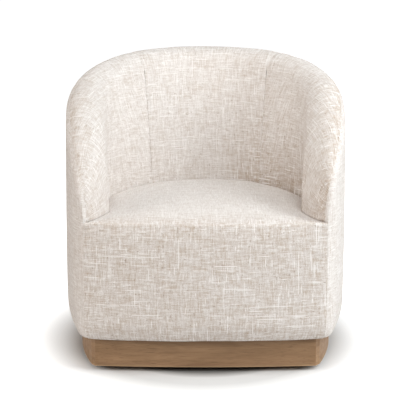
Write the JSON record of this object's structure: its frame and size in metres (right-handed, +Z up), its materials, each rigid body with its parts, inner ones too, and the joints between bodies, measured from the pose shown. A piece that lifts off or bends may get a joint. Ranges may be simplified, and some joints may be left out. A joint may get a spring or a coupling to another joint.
{
  "type": "swivel barrel chair",
  "caption": "Upholstered tub armchair with a rolled rim, crowned tight seat and inset wood plinth that turns on a low steel disc.",
  "frame": {"origin": "on the floor, at the swivel axis, which is the middle of the chair's width and depth", "axes": "+Z up along the swivel axis, front of the chair towards -Y, its right-hand side in the front view towards +X"},
  "size_m": [0.7998, 0.8118, 0.8218],
  "materials": {
    "upholstery": "soft slub weave",
    "plinth_wood": "satin oak stain",
    "disc": "matt black powder coat",
    "glide": "matt",
    "zinc": "zinc plated",
    "screw": "plated",
    "brass_cage": "satin",
    "ball": "polished",
    "plywood": "raw",
    "timber": "raw",
    "lining": "non-woven",
    "webbing": "woven elastic",
    "spring_wire": "bare spring steel",
    "liner_board": "grey board"
  },
  "bodies": {
    "base": {"glide_pads": "glide", "base_disc": "disc", "base_riser": "disc", "lower_plate": "zinc", "lower_bolts": "screw", "centre_pivot": "screw"},
    "bearing": {"ball_cage": "brass_cage", "bearing_balls": "ball"},
    "chair": {"upper_plate": "zinc", "upper_bolts": "screw", "mount_board": "plywood", "plinth_cleats": "timber", "plinth_front": "plinth_wood", "plinth_side_left": "plinth_wood", "plinth_side_right": "plinth_wood", "plinth_back_splice": "timber", "plinth_corner_blocks": "timber", "base_frame": "plywood", "dust_cover": "lining", "front_posts": "timber", "arm_posts": "timber", "back_posts": "timber", "seat_rail_front": "timber", "seat_rail_back": "timber", "seat_rail_sides": "timber", "seat_corner_blocks": "timber", "top_rail_back": "timber", "arm_rail_left": "timber", "arm_rail_right": "timber", "inner_panel_left": "plywood", "inner_panel_right": "plywood", "back_webbing": "webbing", "seat_springs": "spring_wire", "spring_clips": "zinc", "spring_cover": "lining", "outer_liner_back": "liner_board", "outer_liner_left": "liner_board", "outer_liner_right": "liner_board", "front_liner": "liner_board", "outside_back": "upholstery", "outside_arm_left": "upholstery", "outside_arm_right": "upholstery", "inside_back": "upholstery", "inside_arm_left": "upholstery", "inside_arm_right": "upholstery", "seat_cushion": "upholstery", "front_panel": "upholstery"}
  },
  "joints": [
    {"name": "swivel", "type": "hinge", "parent": "base", "child": "chair", "pos_m": [0, 0, 0.03], "axis": [0, 0, 1], "continuous": true},
    {"name": "ball_race", "type": "hinge", "parent": "base", "child": "bearing", "pos_m": [0, 0, 0.03], "axis": [0, 0, 1], "continuous": true}
  ],
  "couplings": [
    {"joint": "ball_race", "follows": "swivel", "ratio": 0.5}
  ]
}
